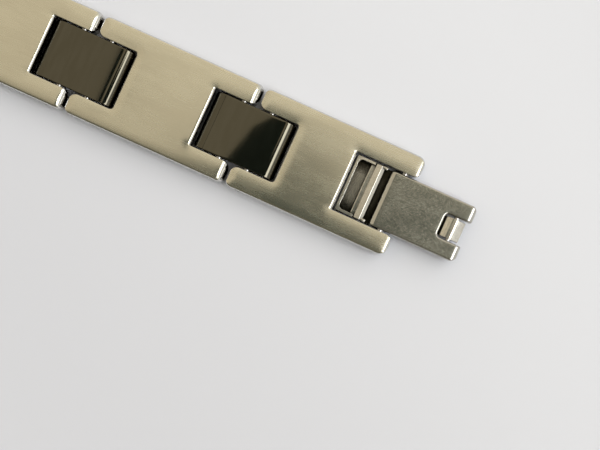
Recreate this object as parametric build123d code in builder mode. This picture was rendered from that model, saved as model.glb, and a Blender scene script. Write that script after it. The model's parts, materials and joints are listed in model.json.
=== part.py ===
from build123d import *
import math
import os

# A steel link bracelet, laid out flat with its outer face up. +X runs along it to the clasp,
# +Y across it and +Z up. The origin lies under the middle of its length, on the surface it lies on.

# The band
link_count = 7
link_pitch = 25.0
link_gap = 0.35
band_width = 15.0
band_thickness = 3.5
crown_radius = 120.0

# An H link: its pockets, its prong tips and its long edges
pocket_width = 8.9
pocket_depth = 6.2
pocket_chamfer = 0.5
tip_round = 1.06
tip_lift = 0.02
tip_under_round = 1.3
tip_corner_chamfer = 0.6
edge_round = 0.35

# A centre link, which fills the two pockets between two H links
centre_side_clearance = 0.2
centre_end_clearance = 0.25
centre_drop = 0.3
centre_corner_chamfer = 0.4

# The pins, and how they fit
pin_radius = 0.5
pin_setback = 2.0
pin_end_recess = 0.15
running_clearance = 0.05
press_clearance = 0.01

# The clasp end link: its deeper pocket, and the recess under it that takes the folded tongue
clasp_pocket_depth = 9.4
clasp_side_clearance = 0.25
recess_end_clearance = 0.3
recess_roof_clearance = 0.15

# The tongue, measured from its hinge pin
tongue_reach = 11.3
tongue_tail = 1.95
tongue_drop = 0.45
tongue_tail_round = 0.85
tongue_tail_corner_round = 0.5
tongue_edge_round = 0.2
tongue_plate_thickness = 1.0
fork_depth = 3.9
fork_width = 3.5
fork_corner_round = 0.55
ear_radius = 0.9
ear_length = 3.1
ear_end_round = 0.4
ear_corner_round = 0.6

# The leaf, which hinges in the fork and folds up under the tongue
leaf_thickness = 0.7
leaf_clearance = 0.1
leaf_pin_radius = 0.4
leaf_pin_setback = 2.1
leaf_pin_recess = 0.1
leaf_shoulder_clearance = 0.05
leaf_web_thickness = 0.75
leaf_edge_round = 0.4
leaf_end_round = 0.8
leaf_corner_round = 0.6
knuckle_width = 2.9
knuckle_end_clearance = 0.4
knuckle_reach = 1.4
knuckle_crest_radius = 3.0
knuckle_nose_round = 0.3

# The hollow end box of the leaf, and the tube that crosses it
box_end_clearance = 0.3
box_rim_drop = 0.85
box_wall = 0.4
box_inner_round = 0.6
box_arm_length = 0.4
tube_distance = 3.9
tube_radius = 1.0

# A round stops at this share of its radius, so that it meets the face beside it in a fine edge
round_reach_share = 0.955

# How far a cutter or an outline runs past the solid that it shapes
overrun = 1.0

# Sizes that follow from these
link_length = link_pitch - link_gap
half_length = link_length / 2
half_width = band_width / 2
prong_width = half_width - pocket_width / 2
pin_height = band_thickness / 2
pin_spacing = link_gap + 2 * pin_setback
pin_length = band_width - 2 * pin_end_recess
prong_bore = pin_radius + press_clearance
moving_bore = pin_radius + running_clearance
centre_width = pocket_width - 2 * centre_side_clearance
centre_length = link_gap + 2 * (pocket_depth - centre_end_clearance)
centre_thickness = band_thickness - 2 * centre_drop

# The clasp's places along X start at the hinge pin of its tongue
clasp_width = pocket_width - 2 * clasp_side_clearance
clasp_wall = pin_setback - clasp_pocket_depth
tongue_top = band_thickness - tongue_drop
tongue_plate_bottom = tongue_top - tongue_plate_thickness
fork_wall = tongue_reach - fork_depth
ear_start = tongue_reach - ear_length
leaf_pin_x = tongue_reach - leaf_pin_setback
leaf_pin_height = tongue_top - ear_radius
leaf_pin_length = clasp_width - 2 * leaf_pin_recess
ear_bottom = leaf_pin_height - ear_radius
ear_sweep = math.hypot(leaf_pin_setback, ear_radius)
leaf_shoulder = leaf_pin_x - ear_sweep - leaf_shoulder_clearance
web_start = leaf_shoulder - leaf_web_thickness
neck_top = tongue_plate_bottom - leaf_clearance
neck_bottom = neck_top - leaf_thickness
block_end = web_start - leaf_clearance
block_bottom = leaf_thickness + leaf_clearance
knuckle_start = fork_wall + knuckle_end_clearance
knuckle_end = leaf_pin_x + knuckle_reach
knuckle_shoulder = tongue_top - knuckle_crest_radius + math.sqrt(knuckle_crest_radius**2 - knuckle_reach**2)
box_start = clasp_wall + box_end_clearance
box_rim = band_thickness - box_rim_drop
box_end = tube_radius + box_arm_length - tube_distance
recess_length = tongue_reach + recess_end_clearance + clasp_wall
recess_roof = band_thickness - ear_bottom + recess_roof_clearance

# The free bore of the far end link lies nearer its tips, so that the closed clasp leaves the usual gap
free_pin_setback = tube_distance - pin_setback - link_gap

# Places along the band
overall_length = link_count * link_pitch - link_gap + tongue_reach - pin_setback
first_link_x = half_length - overall_length / 2
last_link_x = first_link_x + (link_count - 1) * link_pitch
tongue_pin_x = last_link_x + half_length - pin_setback


def slack(radius):
    """How far past a face an outline runs, for its round to meet that face in a fine edge."""
    return radius * (1 - round_reach_share)


def crown_drop(y):
    """How much lower the top of a link is at y than along its middle."""
    return crown_radius - math.sqrt(crown_radius**2 - y**2)


def tip_cutter():
    """What the rounds of the four prong tips take away. They lean with the crown of the prongs."""
    prong_y = half_width - prong_width / 2
    lean = math.degrees(math.asin(prong_y / crown_radius))
    prong_top = band_thickness - crown_drop(prong_y) + tip_lift
    round_start = half_length - tip_round * round_reach_share
    round_end = round_start + tip_round
    upright_plane = Plane(origin=(0, prong_y, prong_top), x_dir=(1, 0, 0), z_dir=(0, -1, 0))
    with BuildPart() as cutter:
        with BuildSketch(upright_plane.rotated((-lean, 0, 0))):
            with BuildLine():
                RadiusArc((round_start, 0), (round_end, -tip_round), tip_round)
                Polyline(
                    (round_end, -tip_round),
                    (round_end + overrun, -tip_round),
                    (round_end + overrun, overrun),
                    (round_start, overrun),
                    (round_start, 0),
                )
            make_face()
        extrude(amount=(prong_width + overrun) / 2, both=True)
        mirror(about=Plane.XZ)
        mirror(about=Plane.YZ)
    return cutter.part


def h_link(left_depth, right_depth, left_setback):
    """An H link with its middle at the origin: its plan, section and side outlines crossed."""
    section_side = half_width + slack(edge_round)
    section_edge = band_thickness - crown_drop(section_side)
    rim_places = (left_depth - half_length, half_length - right_depth)
    with BuildPart() as link:
        with BuildSketch(Plane.XY.offset(-overrun)) as plan:
            Rectangle(link_length, band_width)
            with Locations((-half_length, 0)):
                Rectangle(2 * left_depth, pocket_width, mode=Mode.SUBTRACT)
            with Locations((half_length, 0)):
                Rectangle(2 * right_depth, pocket_width, mode=Mode.SUBTRACT)
            tip_corners = plan.vertices().filter_by(lambda v: abs(v.X) > half_length - tip_corner_chamfer)
            mouth_corners = tip_corners.filter_by(lambda v: abs(v.Y) < half_width - prong_width / 2)
            chamfer(mouth_corners, tip_corner_chamfer)
        extrude(amount=band_thickness + 2 * overrun)
        with BuildSketch(Plane.YZ.offset(-half_length - overrun)) as section:
            with BuildLine():
                RadiusArc((section_side, section_edge), (-section_side, section_edge), -crown_radius)
                Polyline(
                    (-section_side, section_edge),
                    (-section_side, 0),
                    (section_side, 0),
                    (section_side, section_edge),
                )
            make_face()
            fillet(section.vertices().group_by(Axis.Y)[-1], edge_round)
        extrude(amount=link_length + 2 * overrun, mode=Mode.INTERSECT)
        with BuildSketch(Plane.XZ) as side:
            with Locations((0, (band_thickness + overrun) / 2)):
                Rectangle(link_length + 2 * slack(tip_under_round), band_thickness + overrun)
            fillet(side.vertices().group_by(Axis.Y)[0], tip_under_round)
        extrude(amount=half_width + overrun, both=True, mode=Mode.INTERSECT)
        add(tip_cutter(), mode=Mode.SUBTRACT)
        top_edges = link.edges().filter_by(lambda e: e.center().Z > pin_height)
        middle_edges = top_edges.filter_by(lambda e: abs(e.center().Y) < pocket_width / 4)
        rims = middle_edges.filter_by(lambda e: min(abs(e.center().X - x) for x in rim_places) < edge_round)
        chamfer(rims, pocket_chamfer)
        with Locations(
            Location((left_setback - half_length, 0, pin_height), (90, 0, 0)),
            Location((half_length - pin_setback, 0, pin_height), (90, 0, 0)),
        ):
            Hole(prong_bore)
    return link.part


def clasp_end_link():
    """The last H link, with a recess under it beyond its deep pocket for the folded fork of the tongue."""
    wall_x = half_length - clasp_pocket_depth
    with BuildPart() as link:
        add(h_link(pocket_depth, clasp_pocket_depth, pin_setback))
        with BuildSketch(Plane.XY.offset(-overrun)):
            with Locations((wall_x, 0)):
                Rectangle(recess_length, pocket_width, align=(Align.MAX, Align.CENTER))
            with Locations((wall_x, 0)):
                Rectangle(overrun, pocket_width, align=(Align.MIN, Align.CENTER))
        extrude(amount=recess_roof + overrun, mode=Mode.SUBTRACT)
    return link.part


def centre_link():
    """A centre link with its middle at the origin: a bar with full round ends, bored for two pins."""
    with BuildPart() as link:
        with BuildSketch(Plane.XZ):
            with Locations((0, pin_height)):
                SlotOverall(centre_length, centre_thickness)
        extrude(amount=half_width, both=True)
        with BuildSketch() as plan:
            Rectangle(centre_length, centre_width)
            chamfer(plan.vertices(), centre_corner_chamfer)
        extrude(amount=band_thickness, mode=Mode.INTERSECT)
        with Locations(
            Location((-pin_spacing / 2, 0, pin_height), (90, 0, 0)),
            Location((pin_spacing / 2, 0, pin_height), (90, 0, 0)),
        ):
            Hole(moving_bore)
    return link.part


def hinge_pin(radius, length):
    """A plain pin along Y with its middle at the origin."""
    with BuildPart() as pin:
        with BuildSketch(Plane.XZ):
            Circle(radius)
        extrude(amount=length / 2, both=True)
    return pin.part


def tongue():
    """The tongue, with its hinge pin over the origin: a hinge block, a thinner plate and a fork."""
    with BuildPart() as plate:
        with BuildSketch(Plane.XZ) as side:
            with BuildLine():
                Polyline(
                    (-tongue_tail, tongue_top),
                    (-tongue_tail, block_bottom),
                    (block_end, block_bottom),
                    (block_end, tongue_plate_bottom),
                    (ear_start, tongue_plate_bottom),
                    (ear_start, ear_bottom),
                    (tongue_reach, ear_bottom),
                    (tongue_reach, tongue_top),
                    close=True,
                )
            make_face()
            corners = side.vertices()
            fillet(corners.group_by(Axis.X)[0].sort_by(Axis.Y)[-1], tongue_tail_round)
            fillet(corners.group_by(Axis.X)[-1], ear_end_round)
        extrude(amount=half_width, both=True)
        with BuildSketch(Plane.YZ.offset(-tongue_reach)) as section:
            Rectangle(clasp_width, tongue_top, align=(Align.CENTER, Align.MIN))
            fillet(section.vertices().group_by(Axis.Y)[-1], tongue_edge_round)
        extrude(amount=2 * tongue_reach, mode=Mode.INTERSECT)
        with BuildSketch(Plane.XY) as plan:
            with Locations((-tongue_tail, 0)):
                Rectangle(tongue_tail + tongue_reach, clasp_width, align=(Align.MIN, Align.CENTER))
            fillet(plan.vertices().group_by(Axis.X)[0], tongue_tail_corner_round)
            fillet(plan.vertices().group_by(Axis.X)[-1], ear_corner_round)
            with Locations((tongue_reach, 0)):
                Rectangle(2 * fork_depth, fork_width, mode=Mode.SUBTRACT)
            fork_corners = plan.vertices().filter_by(lambda v: abs(v.X - fork_wall) < fork_corner_round)
            fillet(fork_corners, fork_corner_round)
        extrude(amount=band_thickness, mode=Mode.INTERSECT)
        with Locations(Location((0, 0, pin_height), (90, 0, 0))):
            Hole(moving_bore)
        with Locations(Location((leaf_pin_x, 0, leaf_pin_height), (90, 0, 0))):
            Hole(leaf_pin_radius + press_clearance)
    return plate.part


def leaf():
    """The leaf as it lies folded under the tongue: end box, plate, web, neck and knuckle."""
    inner_width = clasp_width - 2 * box_wall
    with BuildPart() as plate:
        with BuildSketch(Plane.XZ) as side:
            with BuildLine():
                Polyline(
                    (box_start, 0),
                    (leaf_shoulder, 0),
                    (leaf_shoulder, neck_top),
                    (web_start, neck_top),
                    (web_start, leaf_thickness),
                    (box_end, leaf_thickness),
                    (box_end, box_rim),
                    (box_start, box_rim),
                    close=True,
                )
            make_face()
            lower_corners = side.vertices().group_by(Axis.Y)[0].sort_by(Axis.X)
            fillet(lower_corners[0], leaf_end_round)
            fillet(lower_corners[-1], leaf_corner_round)
        extrude(amount=half_width, both=True)
        with BuildSketch(Plane.YZ.offset(-tongue_reach)) as section:
            Rectangle(clasp_width, band_thickness, align=(Align.CENTER, Align.MIN))
            fillet(section.vertices().group_by(Axis.Y)[0], leaf_edge_round)
        extrude(amount=2 * tongue_reach, mode=Mode.INTERSECT)
        with BuildSketch(Plane.XY.offset(leaf_thickness)) as hollow:
            with Locations((box_start + box_wall, 0)):
                Rectangle(box_end - box_start, inner_width, align=(Align.MIN, Align.CENTER))
            fillet(hollow.vertices().group_by(Axis.X)[0], box_inner_round)
        extrude(amount=band_thickness, mode=Mode.SUBTRACT)
        with Locations(Location((-tube_distance, 0, pin_height), (90, 0, 0))):
            Cylinder(tube_radius + press_clearance, clasp_width + overrun, mode=Mode.SUBTRACT)
        with BuildSketch(Plane.XZ) as knuckle:
            with BuildLine():
                crest_start = (knuckle_end, knuckle_shoulder)
                crest_end = (knuckle_start, knuckle_shoulder)
                RadiusArc(crest_start, crest_end, -knuckle_crest_radius)
                Polyline(
                    crest_end,
                    (knuckle_start, neck_top),
                    (web_start, neck_top),
                    (web_start, neck_bottom),
                    (knuckle_end, neck_bottom),
                    crest_start,
                )
            make_face()
            fillet(knuckle.vertices().group_by(Axis.X)[-1], knuckle_nose_round)
        extrude(amount=knuckle_width / 2, both=True)
        with Locations(Location((leaf_pin_x, 0, leaf_pin_height), (90, 0, 0))):
            Hole(leaf_pin_radius + running_clearance)
    return plate.part


def leaf_tube():
    """The tube across the leaf's end box, with its middle over the origin."""
    with BuildPart() as tube:
        with BuildSketch(Plane.XZ):
            with Locations((0, pin_height)):
                Circle(tube_radius)
                Circle(moving_bore, mode=Mode.SUBTRACT)
        extrude(amount=clasp_width / 2, both=True)
    return tube.part


def write(shape, name, x, z=0):
    """Place a finished piece on the band, label it and write it."""
    piece = shape.moved(Location((x, 0, z)))
    piece.label = name
    export_step(piece, f"parts/{name}.step")


os.makedirs("parts", exist_ok=True)

middle_link = h_link(pocket_depth, pocket_depth, pin_setback)
write(h_link(pocket_depth, pocket_depth, free_pin_setback), "far_end_link", first_link_x)
for number in range(2, link_count):
    write(middle_link, f"h_link_{number}", first_link_x + (number - 1) * link_pitch)
write(clasp_end_link(), "clasp_end_link", last_link_x)

joint_link = centre_link()
link_pin = hinge_pin(pin_radius, pin_length)
for number in range(1, link_count):
    joint_x = first_link_x + (number - 1 / 2) * link_pitch
    write(joint_link, f"centre_link_{number}", joint_x)
    write(link_pin, f"link_pin_{number}a", joint_x - pin_spacing / 2, pin_height)
    write(link_pin, f"link_pin_{number}b", joint_x + pin_spacing / 2, pin_height)

write(tongue(), "clasp_tongue", tongue_pin_x)
write(leaf(), "clasp_leaf", tongue_pin_x)
write(leaf_tube(), "leaf_tube", tongue_pin_x - tube_distance)
write(link_pin, "tongue_hinge_pin", tongue_pin_x, pin_height)
leaf_pin = hinge_pin(leaf_pin_radius, leaf_pin_length)
write(leaf_pin, "leaf_hinge_pin", tongue_pin_x + leaf_pin_x, leaf_pin_height)
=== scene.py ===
"""Looks for the steel link bracelet: brushed H links, black centre links and a satin folding clasp."""

import json
import math

import bmesh
import bpy
import numpy as np
from mathutils import Matrix, Vector
from mathutils.geometry import delaunay_2d_cdt


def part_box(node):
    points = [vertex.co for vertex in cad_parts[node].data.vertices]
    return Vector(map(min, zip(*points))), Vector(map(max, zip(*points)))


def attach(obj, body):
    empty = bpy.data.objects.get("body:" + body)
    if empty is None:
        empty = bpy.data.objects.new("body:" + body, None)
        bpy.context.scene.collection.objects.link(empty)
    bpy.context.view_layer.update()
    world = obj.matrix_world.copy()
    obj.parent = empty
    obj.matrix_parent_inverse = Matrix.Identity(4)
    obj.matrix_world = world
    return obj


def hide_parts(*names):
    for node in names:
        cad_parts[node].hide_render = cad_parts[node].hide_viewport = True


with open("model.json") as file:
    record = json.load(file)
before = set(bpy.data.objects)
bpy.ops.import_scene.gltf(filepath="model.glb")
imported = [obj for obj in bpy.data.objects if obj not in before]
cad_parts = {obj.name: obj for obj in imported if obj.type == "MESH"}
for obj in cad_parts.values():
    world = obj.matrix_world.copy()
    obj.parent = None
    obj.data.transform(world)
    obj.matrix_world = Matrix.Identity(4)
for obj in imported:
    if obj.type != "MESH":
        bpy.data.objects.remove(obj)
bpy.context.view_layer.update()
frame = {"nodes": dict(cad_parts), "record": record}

MM = 0.001

# The photograph's frame, and the camera that took it, as a place over the tips of the clasp's end link
IMAGE_WIDTH = 600
FOCAL_PIXELS = 1100
SENSOR_WIDTH = 36
CLIP_START = 0.005
CAMERA_FROM_TIPS = Vector((-8.55, -11.48, 157.1)) * MM
VIEW_DIRECTION = Vector((-0.0258, 0.0209, -0.9994))
VIEW_UP = Vector((-0.4127, 0.9104, 0.0297))

# The dark cards beside the lens, as places to the right of and above it in mm, and how far behind it they are
CARD_OUTLINES = [
    [(-60, -12), (-18, 38), (-8, 43), (6, 43), (6, 20), (20, 17), (60, 12), (60, -10), (6, 2), (6, -60),
     (-60, -60)],
    [(-67, 38), (-54, 67), (-47, 64), (-60, 35)],
]
CARD_BEHIND = 6

# The soft lamp: the direction it shines from, its strength and its spread in degrees
LAMP_FROM = (0.45, 0.55, 0.75)
LAMP_STRENGTH = 0.8
LAMP_SPREAD = 50

# The room: how far the band is turned in the picture in degrees, and where the dark side below the picture,
# the duller left, the pale right and the window begin and end, as parts of the direction to them
BAND_TURN = -24.4
BELOW_PICTURE = (-0.35, 0.0)
LEFT_OF_PICTURE = (-0.45, 0.05)
RIGHT_OF_PICTURE = (0.25, 0.6)
WINDOW_NEAR_EDGE = (0.30, 0.37)
WINDOW_FAR_EDGE = (0.60, 0.76)
WINDOW_SIDE_EDGE = (0.20, 0.34)

# The floor: its size, and the painted light that makes it paler towards one side, with where that begins and
# ends along it
FLOOR_SIZE = 4.0
FLOOR_PAINTED_LIGHT_TOWARDS = (0.5, 0.87)
FLOOR_PAINTED_LIGHT_FROM = (-0.02, 0.08)

# How many rays tell how open a place in a hollow is
SKY_SAMPLES = 8

# Colours. A pair is the ends of a range that clouds or grain run through.
STEEL_RANGE = (0.61, 0.57, 0.45, 1), (0.68, 0.64, 0.51, 1)
STEEL_POLISHED = (0.66, 0.65, 0.62, 1)
# Painted shade: the dark that the link steel turns to in gaps and hollows where near faces close it in
STEEL_PAINTED_SHADE = (0.13, 0.125, 0.11, 1)
COAT_RANGE = (0.099, 0.090, 0.065, 1), (0.107, 0.098, 0.073, 1)
TONGUE_RANGE = (0.19, 0.19, 0.157, 1), (0.345, 0.34, 0.288, 1)
TONGUE_EDGE = (0.52, 0.50, 0.445, 1)
LEAF_RANGE = (0.58, 0.55, 0.475, 1), (0.69, 0.655, 0.575, 1)
# Painted shade: the near black that the leaf turns to where it lies deep
LEAF_PAINTED_SHADE = (0.02, 0.018, 0.012, 1)
PIN_RANGE = (0.50, 0.48, 0.45, 1), (0.64, 0.62, 0.59, 1)
# The floor's range, which its random tone and a painted light gradient run through
FLOOR_RANGE = (0.60, 0.608, 0.642, 1), (0.71, 0.722, 0.758, 1)
CARD_COLOUR = (0.058, 0.085, 0.074, 1)
CEILING_RANGE = (0.82, 0.75, 0.61, 1), (0.94, 0.87, 0.72, 1)
ROOM_LEFT = (0.72, 0.65, 0.52, 1)
ROOM_BELOW = (0.16, 0.155, 0.125, 1)
ROOM_RIGHT = (0.80, 0.80, 0.79, 1)
WINDOW_LIGHT = (6.5, 6.6, 6.8, 1)

# The H links in mm, each with its middle at the origin. Their plan corners and pocket rims are rounder than
# the CAD solids', which keep to few faces.
LINK_HALF = 12.325
BAND_HALF = 7.5
BAND_TOP = 3.496
CROWN_RADIUS = 120.0
POCKET_HALF = 4.45
POCKET_DEPTH = 6.2
CLASP_POCKET_DEPTH = 9.4
LEFT_TIP_ROUND = 0.3
RIGHT_TIP_ROUND = 1.25
CLASP_TIP_ROUND = 0.5
TIP_UNDER_ROUND = 1.3
TIP_CORNER = 0.9
MOUTH_CORNER = 1.1
CLASP_TIP_CORNER = 1.25
CLASP_MOUTH_CORNER = 1.0
LEFT_POCKET_CORNER = 0.5
RIGHT_POCKET_CORNER = 0.25
TIP_RIM = 0.05
SIDE_RIM = 0.1
END_RIM = 0.45
EDGE_RIM = 0.35
UNDER_RIM = 0.12
ROLL_WIDTH = 1.5
ROLL_DROP = 0.13
FLAT_BEFORE_WALL = 0.9
PIN_HEIGHT = 1.75
PIN_BORE = 0.51
PIN_SETBACK = 2.0
FREE_PIN_SETBACK = 1.55
RECESS_LENGTH = 4.2
RECESS_ROOF = 2.4

# A centre link
CENTRE_HALF = 6.125
CENTRE_SIDE = 4.25
CENTRE_TOP = 3.2
CENTRE_BOTTOM = 0.3
CENTRE_END_ROUND = 1.38
CENTRE_END_REACH = 1.6
CENTRE_CORNER = 0.45
CENTRE_RIM = 0.15
CENTRE_END_RIM = 0.04
CENTRE_BORE = 0.55
CENTRE_PIN_PLACE = 2.175

# The tube of the leaf's end box: its section as arcs about its middle, each (x, z, radius, from, to) with the
# angles in degrees from +X. A facet ends the top at the right, and the sheet's edge makes a step at the left.
TUBE_ARCS = [
    (0.94, 0.67, 0.06, 0, 61),
    (0.482, 0.847, 0.15, 61, 97),
    (-0.20, 0.79, 0.11, 97, 180),
    (-0.39, 0.50, 0.08, 0, -90),
    (-0.80, 0.205, 0.20, 100, 180),
    (-0.10, -0.10, 0.90, 180, 270),
    (0.10, -0.10, 0.90, 270, 360),
]
TUBE_LENGTH = 8.4
TUBE_BORE = 0.55
TUBE_END_RIM = 0.12
TUBE_ARC_STEPS = 10
TUBE_RIM_STEPS = 4

# The tongue, measured from its hinge pin, a hair inside the CAD solid's sides
TONGUE_TAIL = -1.94
TONGUE_REACH = 11.29
TONGUE_SIDE = 4.19
TONGUE_TOP = 3.049
TONGUE_UNDER = -1.0
FORK_WALL = 7.41
FORK_SIDE = 1.76
FORK_CORNER = 0.6
EAR_CORNER = 0.9
EAR_INNER_CORNER = 0.25
TAIL_CORNER = 0.5
TAIL_ROUND = 0.85
EAR_END_ROUND = 0.6
EAR_END_REACH = 0.85
TONGUE_RIM = 0.3
FORK_RIM = 0.22

# The clasp's leaf: its rims, and the facet at the end of its knuckle, by the place of the facet's upper edge
# from the tips and its tilt in degrees
LEAF_RIM = 0.08
LEAF_RIM_STEPS = 3
LEAF_RIM_ANGLE = 40
KNUCKLE_FACET_FROM_TIPS = Vector((7.45, 0, 3.035)) * MM
KNUCKLE_FACET_TILT = 27

# How finely the shapes are cut, in steps or mm, and which edges stay crisp, in degrees
ARC_STEPS = 10
RIM_STEPS = 6
UNDER_STEPS = 3
END_STEPS = 12
SIDE_STEP = 0.5
STATION_STEP = 0.4
STATION_GAP = 0.04
ROW_STEP = 0.3
FILL_GAP = 0.12
FILL_WELD = 1e-6
BORE_SIDES = 40
CUTTER_SPARE = 1.0
CRISP_ANGLE = 38

# A CAD copy joins its points that are closer than this in mm, and its faces that turn less than this in
# degrees
COPY_WELD = 0.001
COPY_FLAT = 0.5


def node_box(name):
    """A CAD node's lowest and highest corner at rest."""
    low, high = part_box(name)
    return Vector(low), Vector(high)


TIP_X = node_box("clasp_end_link")[1].x


def nodes_named(start):
    """The CAD objects whose names start so."""
    return [o for name, o in frame["nodes"].items() if name.startswith(start)]


def body_of(node):
    """The body that carries a node."""
    bodies = frame["record"]["behaviour"]["bodies"]
    return next(body for body, nodes in bodies.items() if node in nodes)


def dress(objects, material):
    """Give CAD objects a better material."""
    for o in objects:
        for slot in o.material_slots:
            slot.material = material


def quarter(radius, depth, reach=None):
    """How far a quarter round has dropped at a depth in from its end: all of its radius at 0.

    It starts a radius in from the end, or a reach in where one is given."""
    reach = reach or radius
    inside = max(0.0, reach - depth) / reach
    return radius * (1 - math.sqrt(max(0.0, 1 - inside**2)))


def smooth_share(value, low, high):
    """How far a value has come from low to high, as a share that starts and ends gently."""
    share = min(1.0, max(0.0, (value - low) / (high - low)))
    return share * share * (3 - 2 * share)


def outline(corners, stations):
    """Points of a closed plan outline, walked anticlockwise: (x, y, inward x, inward y, rim).

    corners are (x, y, round, rim), where rim is the rim's round along the side that leaves the corner.
    stations are the places along X where the sides along X get a point."""
    points = []
    for i, (x, y, radius, rim) in enumerate(corners):
        here = Vector((x, y))
        before_x, before_y, _, old_rim = corners[i - 1]
        after_x, after_y, after_radius, _ = corners[(i + 1) % len(corners)]
        before, after = Vector((before_x, before_y)), Vector((after_x, after_y))
        come, go = (here - before).normalized(), (after - here).normalized()
        turn = come.cross(go)
        left = Vector((-come.y, come.x))
        centre = here - come * radius + left * radius * turn
        for k in range(ARC_STEPS + 1):
            share = k / ARC_STEPS
            angle = math.radians(90 * share) * turn
            inward = Vector((left.x * math.cos(angle) - left.y * math.sin(angle),
                             left.x * math.sin(angle) + left.y * math.cos(angle)))
            place = centre - inward * radius * turn
            points.append((*place, *inward, old_rim + (rim - old_rim) * smooth_share(share, 0.0, 1.0)))
        start, end = here + go * radius, after - go * after_radius
        inward = (-go.y, go.x)
        if abs(go.x) > 0.5:
            low, high = sorted((start.x, end.x))
            between = [v for v in stations if low + STATION_GAP < v < high - STATION_GAP]
            points += [(v, start.y, *inward, rim) for v in sorted(between, reverse=go.x < 0)]
        else:
            parts = max(1, round((end - start).length / SIDE_STEP))
            points += [(*start.lerp(end, k / parts), *inward, rim) for k in range(1, parts)]
    return points


def depths_in(places, loop):
    """How deep each place lies inside a closed loop of points, or 0 for one that lies outside."""
    place = np.array(places)[:, None, :]
    start = np.array(loop)[None, :, :]
    end = np.roll(start, -1, axis=1)
    side = end - start
    share = np.clip(((place - start) * side).sum(2) / (side**2).sum(2), 0, 1)
    distance = np.linalg.norm(place - start - side * share[:, :, None], axis=2).min(1)
    spans = (start[:, :, 1] > place[:, :, 1]) != (end[:, :, 1] > place[:, :, 1])
    rise = np.where(side[:, :, 1] == 0, 1, side[:, :, 1])
    crossing = start[:, :, 0] + (place[:, :, 1] - start[:, :, 1]) * side[:, :, 0] / rise
    inside = (spans & (place[:, :, 0] < crossing)).sum(1) % 2 == 1
    return np.where(inside, distance, 0)


def skin(mesh, points, height, up, steps, stations, rows):
    """The top or underside of a slab: rings over its rims, and a filled middle. Returns its outer ring.

    height takes a place and its depth in from the outline. up is 1 for the top and -1 for the underside."""
    rings = []
    for k in range(steps + 1):
        angle = math.radians(90) * k / steps
        ring = []
        for x, y, inward_x, inward_y, rim in points:
            inset = rim * (1 - math.cos(angle))
            px, py = x + inward_x * inset, y + inward_y * inset
            ring.append(mesh.verts.new((px, py, height(px, py, inset) - up * rim * (1 - math.sin(angle)))))
        rings.append(ring)
    count = len(points)
    faces = [(outer[i], outer[(i + 1) % count], inner[(i + 1) % count], inner[i])
             for outer, inner in zip(rings, rings[1:]) for i in range(count)]
    loop = [(v.co.x, v.co.y) for v in rings[-1]]
    places = [(x, y) for x in stations for y in rows]
    clear = [place for place, depth in zip(places, depths_in(places, loop)) if depth > FILL_GAP]
    depths = depths_in(clear, [(x, y) for x, y, *_ in points])
    filled = delaunay_2d_cdt([Vector(p) for p in loop + clear], [], [list(range(count))], 1, FILL_WELD)
    triangles, origins = filled[2], filled[3]
    verts = rings[-1] + [mesh.verts.new((x, y, height(x, y, depth))) for (x, y), depth in zip(clear, depths)]
    faces += [[verts[origins[k][0]] for k in triangle] for triangle in triangles]
    for face in faces:
        mesh.faces.new(face if up > 0 else face[::-1])
    return rings[0]


def slab(points, top, bottom, stations, rows):
    """A solid mesh between two heights over a plan outline, with rounded rims."""
    mesh = bmesh.new()
    under_points = [(*point[:4], UNDER_RIM) for point in points]
    upper = skin(mesh, points, top, 1, RIM_STEPS, stations, rows)
    lower = skin(mesh, under_points, bottom, -1, UNDER_STEPS, stations, rows)
    for i in range(len(points)):
        j = (i + 1) % len(points)
        mesh.faces.new((lower[i], lower[j], upper[j], upper[i]))
    return mesh


def add_piece(name, mesh):
    """A new object in the scene that takes over a finished bmesh."""
    data = bpy.data.meshes.new(name)
    mesh.to_mesh(data)
    mesh.free()
    piece = bpy.data.objects.new(name, data)
    bpy.context.scene.collection.objects.link(piece)
    return piece


def settle(piece):
    """Apply a piece's modifiers."""
    data = bpy.data.meshes.new_from_object(piece.evaluated_get(bpy.context.evaluated_depsgraph_get()))
    piece.modifiers.clear()
    piece.data = data


def cut(piece, cutters, operation="DIFFERENCE"):
    """Cut a piece with others, which are used up."""
    for cutter in cutters:
        modifier = piece.modifiers.new("cut", "BOOLEAN")
        modifier.operation = operation
        modifier.solver = "EXACT"
        modifier.object = cutter
    settle(piece)
    for cutter in cutters:
        bpy.data.objects.remove(cutter)


def shade(piece):
    """Smooth over the rounds and crisp at the edges, with normals that keep the flats flat."""
    for polygon in piece.data.polygons:
        polygon.use_smooth = True
    piece.data.set_sharp_from_angle(angle=math.radians(CRISP_ANGLE))
    modifier = piece.modifiers.new("normals", "WEIGHTED_NORMAL")
    modifier.mode = "FACE_AREA"
    modifier.keep_sharp = True
    settle(piece)


def bore_cutter(x, radius):
    """A rod along Y right through a link, at a place along it and at the height of its pins."""
    mesh = bmesh.new()
    place = Matrix.Translation((x, 0, PIN_HEIGHT)) @ Matrix.Rotation(math.radians(90), 4, "X")
    bmesh.ops.create_cone(mesh, cap_ends=True, segments=BORE_SIDES, radius1=radius, radius2=radius,
                          depth=3 * BAND_HALF, matrix=place)
    return add_piece("bore_cutter", mesh)


def recess_cutter():
    """What the recess for the folded tongue takes from the underside of the clasp's end link."""
    mesh = bmesh.new()
    wall = LINK_HALF - CLASP_POCKET_DEPTH
    low = Vector((wall - RECESS_LENGTH, -POCKET_HALF, -CUTTER_SPARE))
    high = Vector((wall + CUTTER_SPARE, POCKET_HALF, RECESS_ROOF))
    place = Matrix.Translation((low + high) / 2) @ Matrix.Diagonal((*(high - low), 1))
    bmesh.ops.create_cube(mesh, size=1, matrix=place)
    return add_piece("recess_cutter", mesh)


def end_places(reach):
    """Depths in from an end that has a round, close together where the round is steepest."""
    return [reach * (1 - math.cos(math.radians(90 * k / END_STEPS))) for k in range(1, END_STEPS + 1)]


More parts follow.
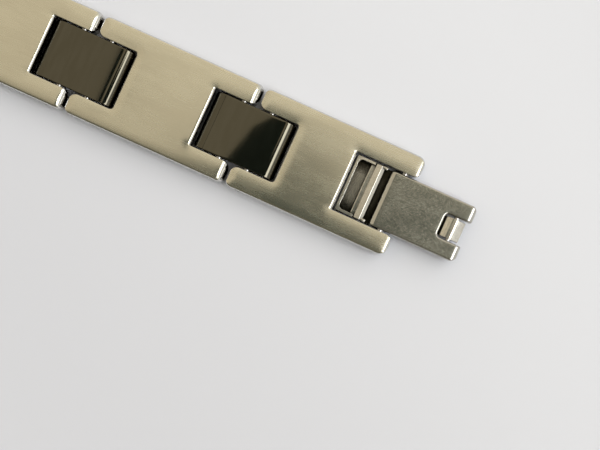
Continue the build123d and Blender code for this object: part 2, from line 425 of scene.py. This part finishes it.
def grid(half_length, tip):
    """Places along X, close together in the rounds of both ends."""
    near = end_places(tip)
    middle = half_length - tip
    parts = round(middle / STATION_STEP)
    stations = [half_length - depth for depth in near] + [middle * k / parts for k in range(1, parts)]
    return sorted([-x for x in stations] + [0.0] + stations)


def rows_across(half_width):
    """Places along Y, evenly spaced."""
    count = int(half_width / ROW_STEP)
    return [k * ROW_STEP for k in range(-count, count + 1)]


def h_link(left_depth, right_depth, left_setback, right_corner, right_mouth, right_tip, recess):
    """An H link: its pockets' depths, its left pin's setback and the rounds of its right tips."""
    def top(x, y, depth):
        crown = CROWN_RADIUS - math.sqrt(CROWN_RADIUS**2 - y**2)
        roll = ROLL_DROP * max(0.0, 1 - depth / ROLL_WIDTH)**2
        if 0 < x < right_wall:
            roll *= smooth_share(abs(y), POCKET_HALF - FLAT_BEFORE_WALL, POCKET_HALF)
        tip = right_tip if x > 0 else LEFT_TIP_ROUND
        return BAND_TOP - crown - roll - quarter(tip, LINK_HALF - abs(x))

    def bottom(x, y, depth):
        return quarter(TIP_UNDER_ROUND, LINK_HALF - abs(x))

    right_wall, left_wall = LINK_HALF - right_depth, left_depth - LINK_HALF
    corners = [
        (LINK_HALF, -BAND_HALF, right_corner, TIP_RIM),
        (LINK_HALF, -POCKET_HALF, right_mouth, SIDE_RIM),
        (right_wall, -POCKET_HALF, RIGHT_POCKET_CORNER, END_RIM),
        (right_wall, POCKET_HALF, RIGHT_POCKET_CORNER, SIDE_RIM),
        (LINK_HALF, POCKET_HALF, right_mouth, TIP_RIM),
        (LINK_HALF, BAND_HALF, right_corner, EDGE_RIM),
        (-LINK_HALF, BAND_HALF, TIP_CORNER, TIP_RIM),
        (-LINK_HALF, POCKET_HALF, MOUTH_CORNER, SIDE_RIM),
        (left_wall, POCKET_HALF, LEFT_POCKET_CORNER, END_RIM),
        (left_wall, -POCKET_HALF, LEFT_POCKET_CORNER, SIDE_RIM),
        (-LINK_HALF, -POCKET_HALF, MOUTH_CORNER, TIP_RIM),
        (-LINK_HALF, -BAND_HALF, TIP_CORNER, EDGE_RIM),
    ]
    stations = grid(LINK_HALF, TIP_UNDER_ROUND)
    rows = rows_across(BAND_HALF)
    piece = add_piece("link", slab(outline(corners, stations), top, bottom, stations, rows))
    cutters = [bore_cutter(x, PIN_BORE) for x in (left_setback - LINK_HALF, LINK_HALF - PIN_SETBACK)]
    if recess:
        cutters.append(recess_cutter())
    cut(piece, cutters)
    shade(piece)
    return piece


def centre_link():
    """A black centre link, rolled over at both ends."""
    def top(x, y, depth):
        return CENTRE_TOP - quarter(CENTRE_END_ROUND, CENTRE_HALF - abs(x), CENTRE_END_REACH)

    def bottom(x, y, depth):
        return CENTRE_BOTTOM + quarter(CENTRE_END_ROUND - UNDER_RIM, CENTRE_HALF - abs(x))

    corners = [
        (CENTRE_HALF, -CENTRE_SIDE, CENTRE_CORNER, CENTRE_END_RIM),
        (CENTRE_HALF, CENTRE_SIDE, CENTRE_CORNER, CENTRE_RIM),
        (-CENTRE_HALF, CENTRE_SIDE, CENTRE_CORNER, CENTRE_END_RIM),
        (-CENTRE_HALF, -CENTRE_SIDE, CENTRE_CORNER, CENTRE_RIM),
    ]
    stations = grid(CENTRE_HALF, CENTRE_END_REACH)
    rows = rows_across(CENTRE_SIDE)
    piece = add_piece("centre", slab(outline(corners, stations), top, bottom, stations, rows))
    cut(piece, [bore_cutter(x, CENTRE_BORE) for x in (-CENTRE_PIN_PLACE, CENTRE_PIN_PLACE)])
    shade(piece)
    return piece


def stand_in(pattern, node, material):
    """A copy of a finished link, at a CAD node's place, that replaces it and rides on its body."""
    low, high = node_box(node)
    piece = pattern.copy()
    piece.data = pattern.data.copy()
    piece.name = "fine_" + node
    piece.data.transform(Matrix.Translation(((low.x + high.x) / 2, 0, 0)) @ Matrix.Scale(MM, 4))
    piece.data.materials.clear()
    piece.data.materials.append(material)
    bpy.context.scene.collection.objects.link(piece)
    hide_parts(node)
    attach(piece, body_of(node))


def add_links(steel, black):
    """Make each kind of link once, and put its copies in place of the CAD's."""
    plain_end = (TIP_CORNER, MOUTH_CORNER, RIGHT_TIP_ROUND)
    clasp_end = (CLASP_TIP_CORNER, CLASP_MOUTH_CORNER, CLASP_TIP_ROUND)
    middle = h_link(POCKET_DEPTH, POCKET_DEPTH, PIN_SETBACK, *plain_end, False)
    far = h_link(POCKET_DEPTH, POCKET_DEPTH, FREE_PIN_SETBACK, *plain_end, False)
    clasp = h_link(POCKET_DEPTH, CLASP_POCKET_DEPTH, PIN_SETBACK, *clasp_end, True)
    centre = centre_link()
    for name in sorted(frame["nodes"]):
        if name.startswith("h_link"):
            stand_in(middle, name, steel)
        elif name.startswith("centre_link"):
            stand_in(centre, name, black)
    stand_in(far, "far_end_link", steel)
    stand_in(clasp, "clasp_end_link", steel)
    for pattern in (middle, far, clasp, centre):
        bpy.data.objects.remove(pattern)


def tube_section():
    """The outline of the tube's section about its middle, anticlockwise from its right side."""
    points = []
    for x, z, radius, start, end in TUBE_ARCS:
        for k in range(TUBE_ARC_STEPS + 1):
            angle = math.radians(start + (end - start) * k / TUBE_ARC_STEPS)
            points.append((x + radius * math.cos(angle), z + radius * math.sin(angle)))
    return points


def leaf_tube(steel):
    """The tube across the leaf's end box: a bored roll of sheet with rounded ends."""
    low, high = node_box("leaf_tube")
    middle = (low + high) / 2
    section = tube_section()
    half = TUBE_LENGTH / 2
    rims = []
    for k in range(TUBE_RIM_STEPS + 1):
        angle = math.radians(90) * k / TUBE_RIM_STEPS
        rims.append((half - TUBE_END_RIM * (1 - math.sin(angle)), 1 - TUBE_END_RIM * (1 - math.cos(angle))))
    bore = [(x / math.hypot(x, z) * TUBE_BORE, z / math.hypot(x, z) * TUBE_BORE) for x, z in section]
    loops = [(half, bore)]
    loops += [(y, [(x * size, z * size) for x, z in section]) for y, size in reversed(rims)]
    loops += [(-y, [(x * size, z * size) for x, z in section]) for y, size in rims]
    loops += [(-half, bore)]
    mesh = bmesh.new()
    rings = [[mesh.verts.new((x, y, z)) for x, z in loop] for y, loop in loops]
    count = len(section)
    for a, b in zip(rings, rings[1:] + rings[:1]):
        for i in range(count):
            j = (i + 1) % count
            mesh.faces.new((a[i], a[j], b[j], b[i]))
    bmesh.ops.recalc_face_normals(mesh, faces=mesh.faces)
    place = Matrix.Translation(middle) @ Matrix.Scale(MM, 4)
    bmesh.ops.transform(mesh, matrix=place, verts=mesh.verts)
    piece = add_piece("fine_leaf_tube", mesh)
    shade(piece)
    stand_for(piece, "leaf_tube", steel)


def cad_copy(node):
    """A new piece with a CAD node's shape, its flat facets joined into whole faces."""
    mesh = bmesh.new()
    mesh.from_mesh(frame["nodes"][node].data)
    bmesh.ops.remove_doubles(mesh, verts=mesh.verts, dist=COPY_WELD * MM)
    bmesh.ops.dissolve_limit(mesh, angle_limit=math.radians(COPY_FLAT), verts=mesh.verts, edges=mesh.edges)
    return add_piece("fine_" + node, mesh)


def stand_for(piece, node, material):
    """Let a finished clasp piece take a CAD node's place on its body."""
    piece.data.materials.clear()
    piece.data.materials.append(material)
    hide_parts(node)
    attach(piece, body_of(node))


def leaf(steel):
    """The clasp's leaf, with a facet on its knuckle and its edges rounded."""
    piece = cad_copy("clasp_leaf")
    mesh = bmesh.new()
    mesh.from_mesh(piece.data)
    tilt = math.radians(KNUCKLE_FACET_TILT)
    facet = bmesh.ops.bisect_plane(mesh, geom=mesh.verts[:] + mesh.edges[:] + mesh.faces[:], clear_outer=True,
                                   plane_co=Vector((TIP_X, 0, 0)) + KNUCKLE_FACET_FROM_TIPS,
                                   plane_no=(math.sin(tilt), 0, math.cos(tilt)))
    edges = [part for part in facet["geom_cut"] if isinstance(part, bmesh.types.BMEdge)]
    bmesh.ops.holes_fill(mesh, edges=edges)
    mesh.to_mesh(piece.data)
    mesh.free()
    modifier = piece.modifiers.new("rims", "BEVEL")
    modifier.width = LEAF_RIM * MM
    modifier.segments = LEAF_RIM_STEPS
    modifier.limit_method = "ANGLE"
    modifier.angle_limit = math.radians(LEAF_RIM_ANGLE)
    settle(piece)
    shade(piece)
    stand_for(piece, "clasp_leaf", steel)


def tongue(steel):
    """The clasp's tongue: the CAD solid within a finer outline and top."""
    def top(x, y, depth):
        tail_drop = quarter(TAIL_ROUND, x - TONGUE_TAIL)
        return TONGUE_TOP - tail_drop - quarter(EAR_END_ROUND, TONGUE_REACH - x, EAR_END_REACH)

    def bottom(x, y, depth):
        return TONGUE_UNDER

    corners = [
        (TONGUE_REACH, -TONGUE_SIDE, EAR_CORNER, TIP_RIM),
        (TONGUE_REACH, -FORK_SIDE, EAR_INNER_CORNER, TONGUE_RIM),
        (FORK_WALL, -FORK_SIDE, FORK_CORNER, FORK_RIM),
        (FORK_WALL, FORK_SIDE, FORK_CORNER, TONGUE_RIM),
        (TONGUE_REACH, FORK_SIDE, EAR_INNER_CORNER, TIP_RIM),
        (TONGUE_REACH, TONGUE_SIDE, EAR_CORNER, TONGUE_RIM),
        (TONGUE_TAIL, TONGUE_SIDE, TAIL_CORNER, TIP_RIM),
        (TONGUE_TAIL, -TONGUE_SIDE, TAIL_CORNER, TONGUE_RIM),
    ]
    near_tail = [TONGUE_TAIL + depth for depth in end_places(TAIL_ROUND)]
    near_ears = [TONGUE_REACH - depth for depth in end_places(EAR_END_REACH)]
    start, length = near_tail[-1], near_ears[-1] - near_tail[-1]
    count = round(length / STATION_STEP)
    stations = sorted(near_tail + [start + length / count * k for k in range(1, count)] + near_ears)
    rows = rows_across(TONGUE_SIDE)
    mould = add_piece("mould", slab(outline(corners, stations), top, bottom, stations, rows))
    pin_x = sum(corner.x for corner in node_box("tongue_hinge_pin")) / 2
    mould.data.transform(Matrix.Translation((pin_x, 0, 0)) @ Matrix.Scale(MM, 4))
    piece = cad_copy("clasp_tongue")
    cut(piece, [mould], "INTERSECT")
    shade(piece)
    stand_for(piece, "clasp_tongue", steel)


def add_clasp(tongue_material, leaf_material):
    """The three visible pieces of the clasp, apart from its pins."""
    leaf_tube(leaf_material)
    tongue(tongue_material)
    leaf(leaf_material)


class Graph:
    """A small helper for writing node trees: its calls add nodes and return the outputs to go on with."""

    def __init__(self, tree):
        self.tree = tree

    def add(self, kind, inputs=None, out=0, **settings):
        """A node of a kind, with values or other nodes' outputs for its inputs, by name or number."""
        node = self.tree.nodes.new(kind)
        for key, value in settings.items():
            setattr(node, key, value)
        for key, value in (inputs or {}).items():
            if isinstance(value, bpy.types.NodeSocket):
                self.tree.links.new(value, node.inputs[key])
            else:
                node.inputs[key].default_value = value
        return node.outputs[out]

    def math(self, operation, a, b=0.0, clamp=False):
        """One sum with numbers or outputs."""
        return self.add("ShaderNodeMath", {0: a, 1: b}, operation=operation, use_clamp=clamp)

    def ramp(self, value, low, high, to_low=0.0, to_high=1.0):
        """value from low..high to to_low..to_high, smoothly and clamped."""
        inputs = {"Value": value, "From Min": low, "From Max": high, "To Min": to_low, "To Max": to_high}
        return self.add("ShaderNodeMapRange", inputs, interpolation_type="SMOOTHSTEP")

    def mix(self, share, a, b):
        """Colour a to colour b, which the Mix node takes at sockets of their own."""
        return self.add("ShaderNodeMix", {"Factor": share, 6: a, 7: b}, out=2, data_type="RGBA")

    def blend(self, share, a, b):
        """Number a to number b."""
        return self.add("ShaderNodeMix", {"Factor": share, 2: a, 3: b}, data_type="FLOAT")

    def axes(self, vector):
        """A vector's three parts."""
        node = self.tree.nodes.new("ShaderNodeSeparateXYZ")
        self.tree.links.new(vector, node.inputs[0])
        return node.outputs[0], node.outputs[1], node.outputs[2]

    def stretched_noise(self, vector, scale, detail=2.0, size=1.0):
        """Noise drawn out along the axes: scale is how many times finer it is than 1 / size along each."""
        place = self.add("ShaderNodeMapping", {"Vector": vector, "Scale": scale})
        inputs = {"Vector": place, "Scale": size, "Detail": detail, "Roughness": 0.6}
        return self.add("ShaderNodeTexNoise", inputs)

    def grain(self, fine, coarse, fine_share, detail):
        """Fine grain drawn out along the axes, and a tone that mixes it with coarser patches."""
        place = self.add("ShaderNodeTexCoord", out="Object")
        grain = self.stretched_noise(place, fine, detail=detail)
        patches = self.stretched_noise(place, coarse)
        parts = self.math("MULTIPLY", grain, fine_share), self.math("MULTIPLY", patches, 1 - fine_share)
        return grain, self.math("ADD", *parts)

    def levelness(self):
        """How level the face is: 1 where it looks straight up or down."""
        _, _, up = self.axes(self.add("ShaderNodeTexCoord", out="Normal"))
        return self.math("ABSOLUTE", up)

    def open_sky(self, distance):
        """How open the place is to what lies within a distance in mm."""
        inputs = {"Distance": distance * MM}
        return self.add("ShaderNodeAmbientOcclusion", inputs, out="AO", samples=SKY_SAMPLES)

    def bump(self, height, strength, distance):
        """A normal that a height sways, over a distance in mm."""
        return self.add("ShaderNodeBump", {"Height": height, "Strength": strength, "Distance": distance * MM})


def new_material(name):
    """A material, a graph of its nodes and its shader."""
    material = bpy.data.materials.new(name)
    material.use_nodes = True
    tree = material.node_tree
    shader = tree.nodes["Principled BSDF"]
    return material, Graph(tree), shader


def link(graph, output, shader, socket):
    """Let a node's output drive one of the shader's sockets."""
    graph.tree.links.new(output, shader.inputs[socket])


def brushed_link_steel():
    """Brushed along the band on the flat top, polished on the rounds, chamfers and walls, with painted shade
    where near faces close a place in.
    """
    material, g, shader = new_material("brushed_link_steel")
    level = g.levelness()
    brushed = g.ramp(level, 0.94, 0.97)
    streaks, tone = g.grain((420, 11000, 11000), (110, 300, 300), fine_share=0.45, detail=3)
    colour = g.mix(g.ramp(tone, 0.38, 0.62), *STEEL_RANGE)
    colour = g.mix(g.ramp(level, 0.72, 0.90), STEEL_POLISHED, colour)
    # Painted shade: darker where near faces close the place in, in the gaps between links and in the pockets
    colour = g.mix(g.ramp(g.open_sky(0.8), 0.35, 0.92), STEEL_PAINTED_SHADE, colour)
    link(g, colour, shader, "Base Color")
    polished_roughness = 0.11
    brushed_roughness = g.ramp(tone, 0.35, 0.65, to_low=0.24, to_high=0.29)
    link(g, g.blend(brushed, polished_roughness, brushed_roughness), shader, "Roughness")
    link(g, g.bump(g.math("MULTIPLY", streaks, brushed), strength=0.05, distance=0.02), shader, "Normal")
    shader.inputs["Metallic"].default_value = 1.0
    shader.inputs["Anisotropic"].default_value = 0.6
    tangent = g.add("ShaderNodeTangent", direction_type="RADIAL", axis="X")
    link(g, tangent, shader, "Tangent")
    return material


def black_coat():
    """The dark mirror coat of the centre links."""
    material, g, shader = new_material("black_coat")
    place = g.add("ShaderNodeTexCoord", out="Object")
    cloud = g.stretched_noise(place, (1400, 250, 250))
    link(g, g.mix(g.ramp(cloud, 0.3, 0.7), *COAT_RANGE), shader, "Base Color")
    link(g, g.ramp(cloud, 0.3, 0.7, to_low=0.04, to_high=0.055), shader, "Roughness")
    shader.inputs["Metallic"].default_value = 1.0
    return material


def tongue_steel():
    """Dark satin steel with a fine grain along the band, and brighter rims."""
    material, g, shader = new_material("tongue_steel")
    flat = g.ramp(g.levelness(), 0.97, 0.995)
    grain, tone = g.grain((3500, 11000, 11000), (250, 400, 400), fine_share=0.75, detail=3)
    satin = g.mix(g.ramp(tone, 0.35, 0.65), *TONGUE_RANGE)
    link(g, g.mix(flat, TONGUE_EDGE, satin), shader, "Base Color")
    edge_roughness = 0.14
    satin_roughness = g.ramp(tone, 0.3, 0.7, to_low=0.22, to_high=0.27)
    link(g, g.blend(flat, edge_roughness, satin_roughness), shader, "Roughness")
    link(g, g.bump(grain, strength=0.1, distance=0.01), shader, "Normal")
    shader.inputs["Metallic"].default_value = 1.0
    return material


def leaf_steel():
    """Smooth pressed steel of the leaf and its tube, with painted shade that makes it dark where it lies
    deep.
    """
    material, g, shader = new_material("leaf_steel")
    grain, tone = g.grain((1200, 6000, 6000), (300, 500, 500), fine_share=0.5, detail=2)
    colour = g.mix(g.ramp(tone, 0.35, 0.65), *LEAF_RANGE)
    # Painted shade: dark where near faces close the place in, deep in the clasp
    colour = g.mix(g.ramp(g.open_sky(2.0), 0.43, 0.79), LEAF_PAINTED_SHADE, colour)
    link(g, colour, shader, "Base Color")
    link(g, g.ramp(tone, 0.3, 0.7, to_low=0.16, to_high=0.22), shader, "Roughness")
    link(g, g.bump(grain, strength=0.04, distance=0.01), shader, "Normal")
    shader.inputs["Metallic"].default_value = 1.0
    return material


def pin_steel():
    """Plain turned steel: fine rings about the pin's axis."""
    material, g, shader = new_material("pin_steel")
    place = g.add("ShaderNodeTexCoord", out="Object")
    rings = g.stretched_noise(place, (600, 9000, 600))
    link(g, g.mix(g.ramp(rings, 0.35, 0.65), *PIN_RANGE), shader, "Base Color")
    link(g, g.ramp(rings, 0.3, 0.7, to_low=0.18, to_high=0.30), shader, "Roughness")
    shader.inputs["Metallic"].default_value = 1.0
    return material


def floor_paper():
    """Pale matt paper under the bracelet, with painted light that makes it paler towards one side."""
    material, g, shader = new_material("floor_paper")
    place = g.add("ShaderNodeTexCoord", out="Object")
    cloud = g.stretched_noise(place, (12, 12, 12), detail=3)
    along, across, _ = g.axes(place)
    part_along, part_across = FLOOR_PAINTED_LIGHT_TOWARDS
    way = g.math("ADD", g.math("MULTIPLY", along, part_along), g.math("MULTIPLY", across, part_across))
    # Painted light: a gradient that makes the paper paler towards one side, with its random tone on top
    painted_light_and_tone = g.math("ADD", g.ramp(way, *FLOOR_PAINTED_LIGHT_FROM), g.math("MULTIPLY", cloud, 0.1), clamp=True)
    link(g, g.mix(painted_light_and_tone, *FLOOR_RANGE), shader, "Base Color")
    shader.inputs["Roughness"].default_value = 0.9
    return material


def dark_paint():
    """The plain dark face of the cards beside the lens."""
    material, _, shader = new_material("dark_card")
    shader.inputs["Base Color"].default_value = CARD_COLOUR
    shader.inputs["Roughness"].default_value = 0.8
    return material


def add_floor():
    """The level that the bracelet lies on."""
    bpy.ops.mesh.primitive_plane_add(size=FLOOR_SIZE, location=(0, 0, 0))
    floor = bpy.context.object
    floor.name = "floor"
    floor.data.materials.append(floor_paper())


def add_camera():
    """The photograph's camera."""
    data = bpy.data.cameras.new("camera")
    data.sensor_width = SENSOR_WIDTH
    data.lens = SENSOR_WIDTH * FOCAL_PIXELS / IMAGE_WIDTH
    data.clip_start = CLIP_START
    camera = bpy.data.objects.new("camera", data)
    bpy.context.scene.collection.objects.link(camera)
    back = -VIEW_DIRECTION.normalized()
    right = VIEW_UP.cross(back).normalized()
    up = back.cross(right)
    turn = Matrix((right, up, back)).transposed().to_4x4()
    camera.matrix_world = Matrix.Translation(Vector((TIP_X, 0, 0)) + CAMERA_FROM_TIPS) @ turn
    bpy.context.scene.camera = camera
    return camera


def add_dark_cards(camera):
    """What hangs over the bracelet beside the lens and shows dark in the polished faces."""
    mesh = bmesh.new()
    for corners in CARD_OUTLINES:
        mesh.faces.new([mesh.verts.new((x * MM, y * MM, CARD_BEHIND * MM)) for x, y in corners])
    card = add_piece("dark_card", mesh)
    card.matrix_world = camera.matrix_world
    card.data.materials.append(dark_paint())
    card.visible_camera = False
    card.visible_diffuse = False
    card.visible_shadow = False


def add_lamp():
    """A broad soft lamp from the far right that lightens the floor and deepens the shadow."""
    data = bpy.data.lights.new("soft_lamp", "SUN")
    data.energy = LAMP_STRENGTH
    data.angle = math.radians(LAMP_SPREAD)
    lamp = bpy.data.objects.new("soft_lamp", data)
    bpy.context.scene.collection.objects.link(lamp)
    lamp.rotation_mode = "QUATERNION"
    lamp.rotation_quaternion = Vector(LAMP_FROM).to_track_quat("Z", "Y")
    lamp.visible_glossy = False


def add_world():
    """A room: a warm ceiling, a bright window beyond the clasp, and a dark side below the picture."""
    world = bpy.data.worlds.new("room")
    bpy.context.scene.world = world
    world.use_nodes = True
    g = Graph(world.node_tree)
    background = world.node_tree.nodes["Background"]
    direction = g.add("ShaderNodeTexCoord", out="Generated")
    along, across, _ = g.axes(direction)
    turned = g.add("ShaderNodeMapping", {"Vector": direction, "Rotation": (0, 0, math.radians(BAND_TURN))})
    right, top, _ = g.axes(turned)
    cloud = g.stretched_noise(direction, (1, 1, 1), detail=1, size=4.0)
    room = g.mix(g.ramp(cloud, 0.35, 0.65), *CEILING_RANGE)
    room = g.mix(g.ramp(right, *LEFT_OF_PICTURE), ROOM_LEFT, room)
    room = g.mix(g.ramp(top, *BELOW_PICTURE), ROOM_BELOW, room)
    room = g.mix(g.ramp(right, *RIGHT_OF_PICTURE), room, ROOM_RIGHT)
    past_near = g.ramp(along, *WINDOW_NEAR_EDGE)
    before_far = g.ramp(along, *WINDOW_FAR_EDGE, to_low=1.0, to_high=0.0)
    between_sides = g.ramp(g.math("ABSOLUTE", across), *WINDOW_SIDE_EDGE, to_low=1.0, to_high=0.0)
    window = g.math("MULTIPLY", g.math("MULTIPLY", past_near, before_far), between_sides)
    link(g, g.mix(window, room, WINDOW_LIGHT), background, "Color")
    background.inputs["Strength"].default_value = 1.0


def main():
    """Dress the bracelet, and set the floor, the camera and the light."""
    add_links(brushed_link_steel(), black_coat())
    add_clasp(tongue_steel(), leaf_steel())
    pins = nodes_named("link_pin") + nodes_named("tongue_hinge_pin") + nodes_named("leaf_hinge_pin")
    dress(pins, pin_steel())
    add_floor()
    camera = add_camera()
    add_dark_cards(camera)
    add_lamp()
    add_world()
    bpy.context.scene.view_settings.view_transform = "Standard"


main()
